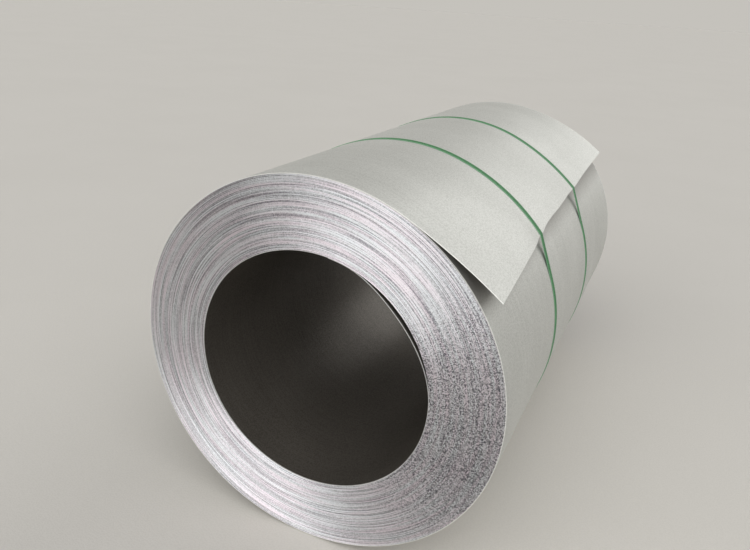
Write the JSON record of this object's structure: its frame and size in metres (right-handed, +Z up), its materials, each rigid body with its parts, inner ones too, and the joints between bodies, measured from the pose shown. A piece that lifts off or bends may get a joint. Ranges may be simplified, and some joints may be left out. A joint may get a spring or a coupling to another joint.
{
  "type": "steel coil",
  "caption": "Coil of galvanised sheet steel lying on its side, with an open bore, a sprung cut end and green plastic straps.",
  "frame": {"origin": "middle of the bore's axis, half way between the coil's two ends", "axes": "+Y along the bore away from the near end, the one with the loose inner turn; +Z up; +X towards the side that the cut end springs off"},
  "size_m": [0.8014, 1.25, 0.8012],
  "materials": {
    "zinc_coated_steel": "matt zinc coating with a fine rolled grain",
    "green_strapping": "embossed polyester strapping"
  },
  "bodies": {
    "root": {"coil": "zinc_coated_steel", "strap_near": "green_strapping", "strap_far": "green_strapping"}
  },
  "joints": []
}
